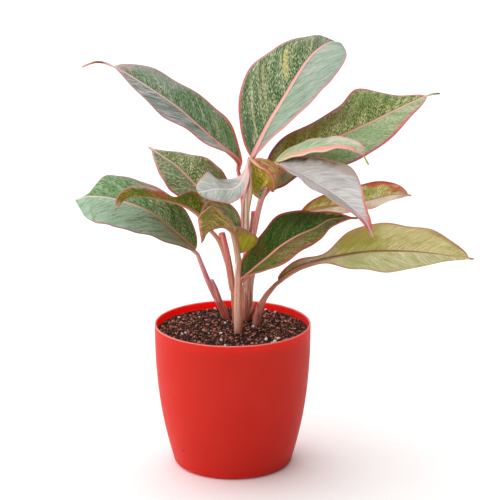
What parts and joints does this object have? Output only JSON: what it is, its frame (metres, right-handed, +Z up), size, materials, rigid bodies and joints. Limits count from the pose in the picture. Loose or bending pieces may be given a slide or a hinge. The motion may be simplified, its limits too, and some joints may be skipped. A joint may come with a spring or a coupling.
{
  "type": "potted chinese evergreen",
  "caption": "House plant with long pink-edged green leaves on pink stalks, standing in dark soil in a round red plastic pot.",
  "frame": {"origin": "centre of the pot's flat base, on the pot's axis", "axes": "+Z up along the pot's axis; -Y is the front that the picture shows; +X is to the right in the picture"},
  "size_m": [0.3316, 0.1504, 0.3513],
  "materials": {
    "pot_plastic": "satin red moulded plastic",
    "potting_soil": "dark crumbly peat mix with white perlite grains",
    "stalk_pink": "smooth, slightly glossy pink to brown stalk",
    "leaf_green": "waxy satin green with cream flecks, pink edge and pink midrib"
  },
  "bodies": {
    "root": {"pot": "pot_plastic", "soil": "potting_soil", "shoot_front": "stalk_pink", "shoot_left": "stalk_pink", "shoot_right": "stalk_pink", "shoot_middle": "stalk_pink", "shoot_back": "stalk_pink", "blade_01": "leaf_green", "blade_02": "leaf_green", "blade_03": "leaf_green", "blade_04": "leaf_green", "blade_05": "leaf_green", "blade_06": "leaf_green", "blade_07": "leaf_green", "blade_08": "leaf_green", "blade_09": "leaf_green", "blade_10": "leaf_green", "blade_11": "leaf_green", "blade_12": "leaf_green", "blade_13": "leaf_green", "blade_14": "leaf_green"}
  },
  "joints": []
}
